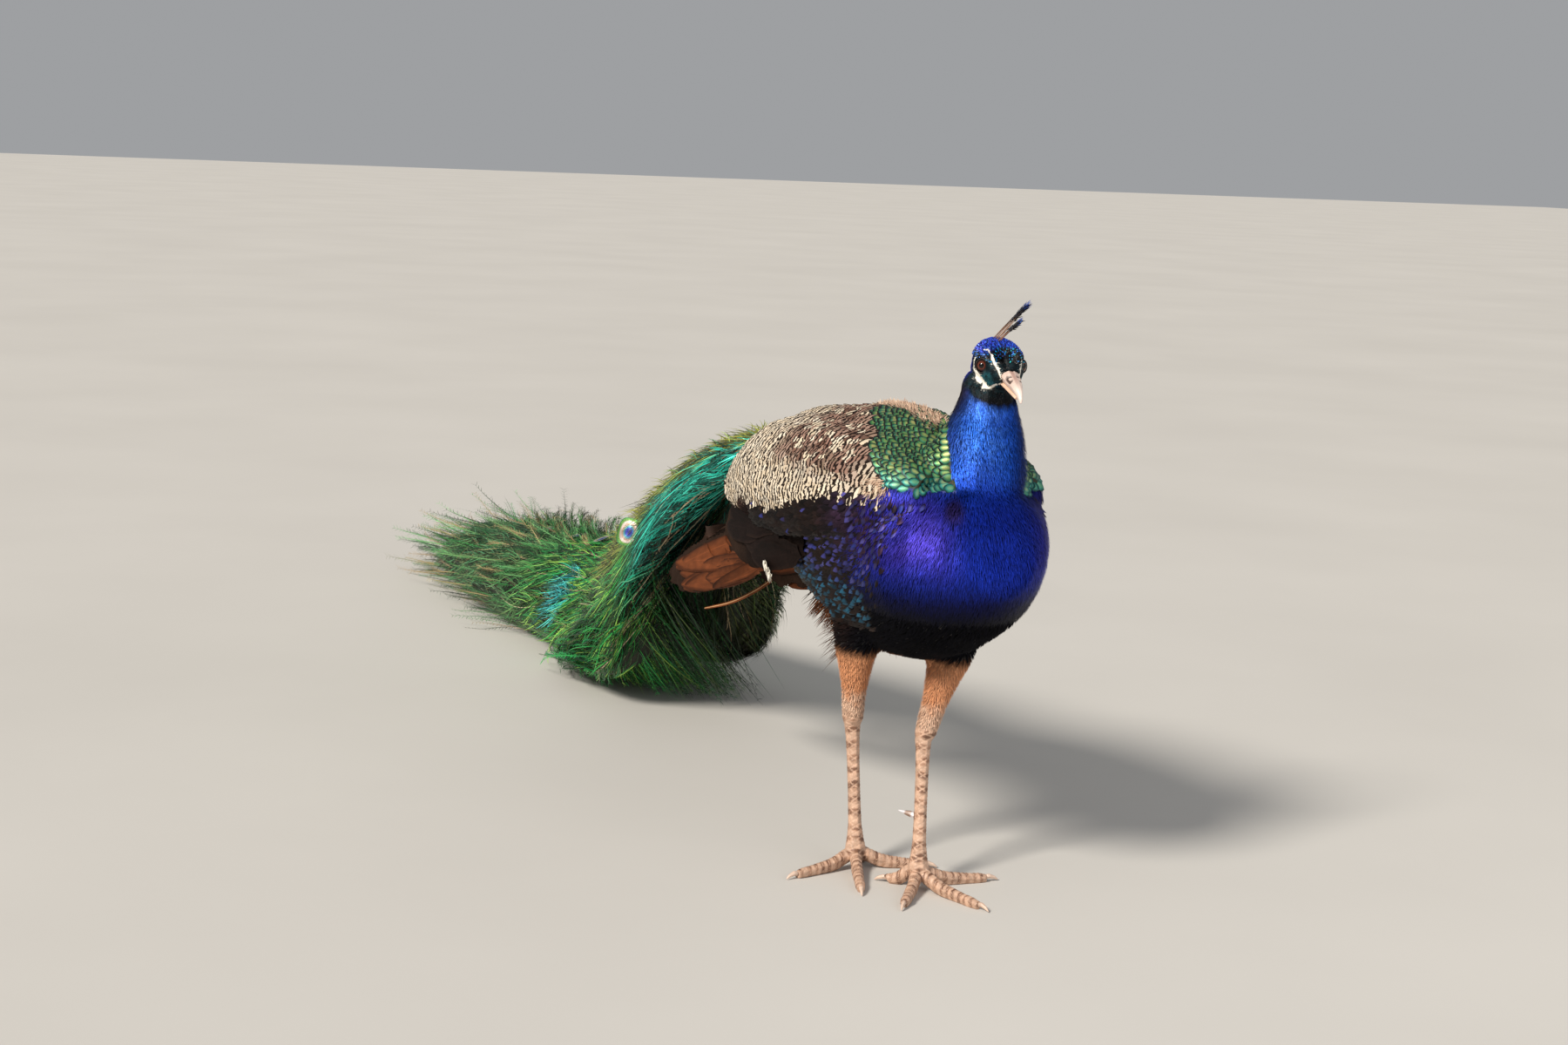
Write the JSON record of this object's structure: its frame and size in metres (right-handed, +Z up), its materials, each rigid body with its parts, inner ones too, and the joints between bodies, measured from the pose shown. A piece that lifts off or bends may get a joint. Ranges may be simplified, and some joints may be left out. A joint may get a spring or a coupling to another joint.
{
  "type": "standing peacock model",
  "caption": "Still life-size peacock standing on both feet, head turned slightly, its folded train resting on the floor behind it.",
  "frame": {"origin": "on the floor under the middle of the bird's plan", "axes": "+Z up, the bird faces -Y, its left side is +X and its train runs back along +Y"},
  "size_m": [0.434, 2.127, 0.647],
  "materials": {
    "head_feathers": "short feathers, metallic blue on the crown and blue-black on the cheeks, with white bare skin round the eye",
    "neck_feathers": "silky royal blue feathers with an iridescent sheen",
    "body_feathers": "blue and violet breast, black belly and green scale-like mantle feathers",
    "crest_feathers": "bare buff shafts with small blue tips",
    "covert_feathers": "cream feathers with wavy black-brown bars",
    "flight_feathers": "brown-black with a faint purple gloss",
    "primary_feathers": "rufous with pale rims",
    "tail_feathers": "plain brown",
    "train_feathers": "loose metallic green barbs with bronze, teal and eyespots",
    "thigh_feathers": "short buff-cream feathers",
    "leg_scales": "horny scutes, grey-brown and pinkish",
    "horn": "pinkish grey horn with a satin finish",
    "claws": "pale brown horn",
    "eyes": "red-brown iris and black pupil under a wet clear surface"
  },
  "bodies": {
    "root": {"bill_lower": "horn", "bill_upper": "horn", "claw_hind_left": "claws", "claw_hind_right": "claws", "claw_inner_left": "claws", "claw_inner_right": "claws", "claw_middle_left": "claws", "claw_middle_right": "claws", "claw_outer_left": "claws", "claw_outer_right": "claws", "crest": "crest_feathers", "eye_left": "eyes", "eye_right": "eyes", "head": "head_feathers", "neck": "neck_feathers", "shank_left": "leg_scales", "shank_right": "leg_scales", "spur_left": "horn", "spur_right": "horn", "tail": "tail_feathers", "thigh_left": "thigh_feathers", "thigh_right": "thigh_feathers", "toe_hind_left": "leg_scales", "toe_hind_right": "leg_scales", "toe_inner_left": "leg_scales", "toe_inner_right": "leg_scales", "toe_middle_left": "leg_scales", "toe_middle_right": "leg_scales", "toe_outer_left": "leg_scales", "toe_outer_right": "leg_scales", "train_end": "train_feathers", "train_middle": "train_feathers", "train_root": "train_feathers", "trunk": "body_feathers", "wing_coverts_left": "covert_feathers", "wing_coverts_right": "covert_feathers", "wing_primaries_left": "primary_feathers", "wing_primaries_right": "primary_feathers", "wing_secondaries_left": "flight_feathers", "wing_secondaries_right": "flight_feathers"}
  },
  "joints": []
}
